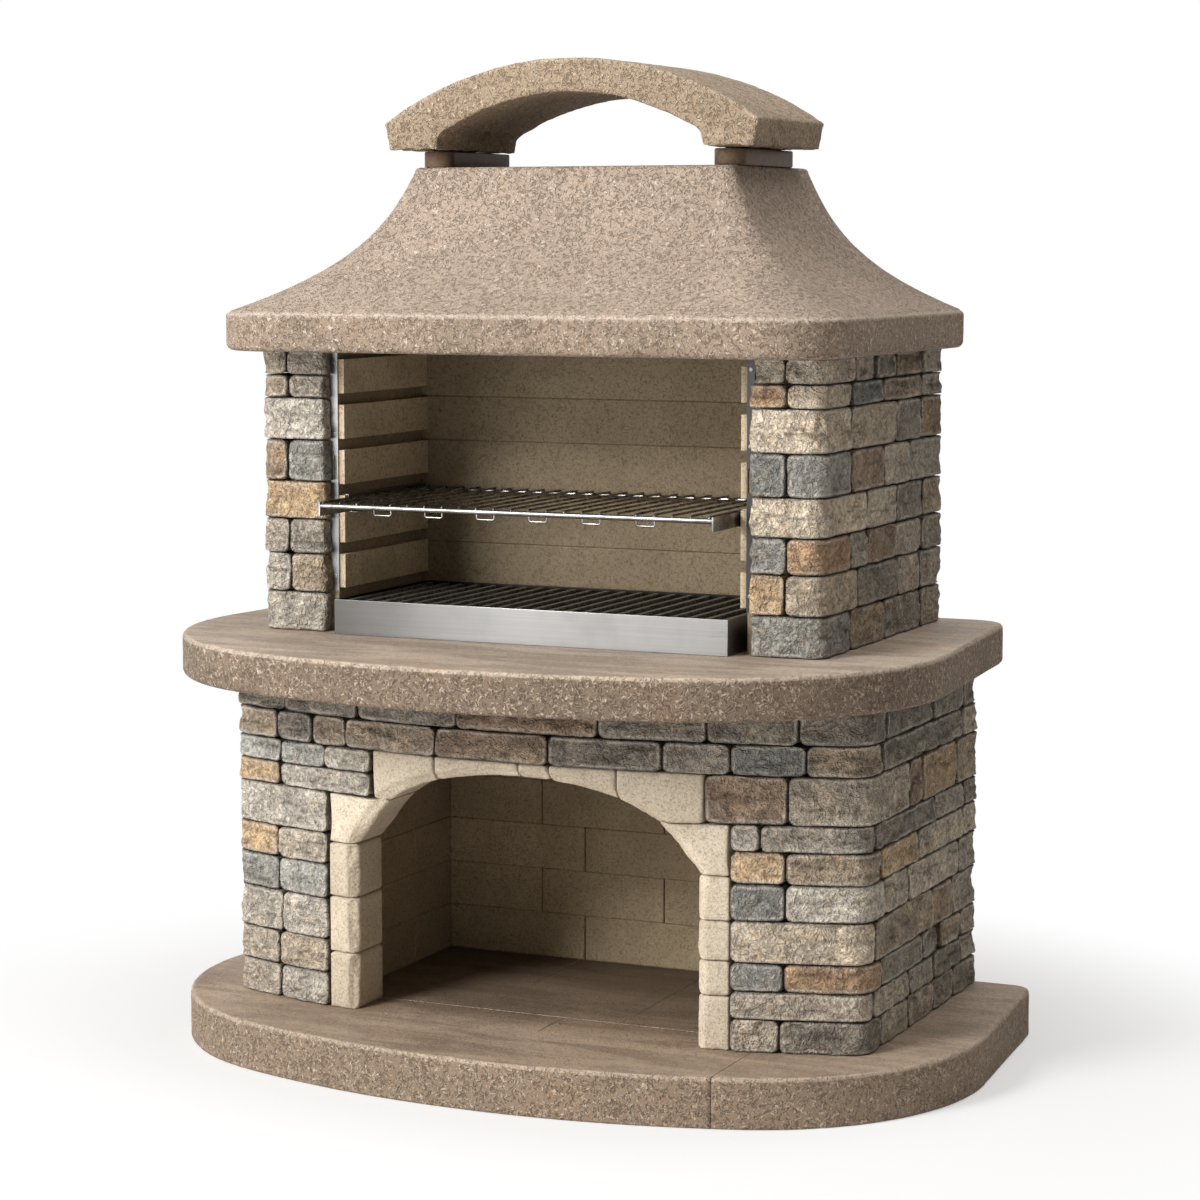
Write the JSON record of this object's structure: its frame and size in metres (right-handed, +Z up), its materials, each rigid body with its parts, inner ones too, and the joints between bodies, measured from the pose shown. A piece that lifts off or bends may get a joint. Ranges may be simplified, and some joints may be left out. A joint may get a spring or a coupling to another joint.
{
  "type": "masonry barbecue",
  "caption": "Free-standing stone barbecue with an arched log recess, bowed worktop, ribbed firebox with sliding grill and ember tray, flared hood and arched chimney cap.",
  "frame": {"origin": "centre of the bounding box in plan, on the ground", "axes": "+Z up, -Y towards the person at the grill, +X to that person's right"},
  "size_m": [1.7039, 1.1528, 2],
  "materials": {
    "split_stone": "split face in mixed grey, beige, tan and blue-grey",
    "cast_concrete": "brown exposed aggregate, softly rounded edges",
    "floor_tile": "smooth brown",
    "surround_block": "fine cream grain, roughened edges",
    "lining_block": "cream refractory block",
    "cap_stone": "rough tan",
    "spacer_stone": "smooth brown",
    "sheet_steel": "brushed",
    "grill_chrome": "bright wire",
    "grate_iron": "dark"
  },
  "bodies": {
    "masonry": {"lower_course_01": "split_stone", "lower_course_02": "split_stone", "lower_course_03": "split_stone", "lower_course_04": "split_stone", "lower_course_05": "split_stone", "lower_course_06": "split_stone", "lower_course_07": "split_stone", "lower_course_08": "split_stone", "lower_course_09": "split_stone", "lower_course_10": "split_stone", "upper_course_01": "split_stone", "upper_course_02": "split_stone", "upper_course_03": "split_stone", "upper_course_04": "split_stone", "upper_course_05": "split_stone", "upper_course_06": "split_stone", "upper_course_07": "split_stone", "upper_course_08": "split_stone", "base_slab_left": "cast_concrete", "base_slab_right": "cast_concrete", "worktop": "cast_concrete", "hood": "cast_concrete", "recess_floor_tiles": "floor_tile", "arch_jamb_left": "surround_block", "arch_jamb_right": "surround_block", "arch_springer_left": "surround_block", "arch_springer_right": "surround_block", "arch_voussoirs": "surround_block", "arch_keystone": "surround_block", "recess_back_lining": "lining_block", "recess_left_lining": "lining_block", "recess_right_lining": "lining_block", "firebox_left_lining": "lining_block", "firebox_right_lining": "lining_block", "firebox_back_lining": "lining_block", "firebox_rear_core": "lining_block", "chimney_cap": "cap_stone", "cap_spacer_left": "spacer_stone", "cap_spacer_right": "spacer_stone", "edge_strip_left": "sheet_steel", "edge_strip_right": "sheet_steel", "grill_rail_left": "sheet_steel", "grill_rail_right": "sheet_steel", "strip_screws": "sheet_steel"},
    "cooking_grill": {"grill_side_bars": "grill_chrome", "grill_front_rod": "grill_chrome", "grill_back_rod": "grill_chrome", "grill_wires": "grill_chrome", "grill_wire_bends": "grill_chrome"},
    "tray_drawer": {"ember_tray": "sheet_steel"},
    "ember_grate": {"ember_grate_bars": "grate_iron", "ember_grate_cross_bars": "grate_iron", "ember_grate_legs": "grate_iron"}
  },
  "joints": [
    {"name": "grill_slide", "type": "slide", "parent": "masonry", "child": "cooking_grill", "axis": [0, -1, 0], "range_m": [0, 0.3]},
    {"name": "tray_slide", "type": "slide", "parent": "masonry", "child": "tray_drawer", "axis": [0, -1, 0], "range_m": [0, 0.3]},
    {"name": "grate_lift", "type": "slide", "parent": "tray_drawer", "child": "ember_grate", "axis": [0, 0, 1], "range_m": [0, 0.11]}
  ]
}
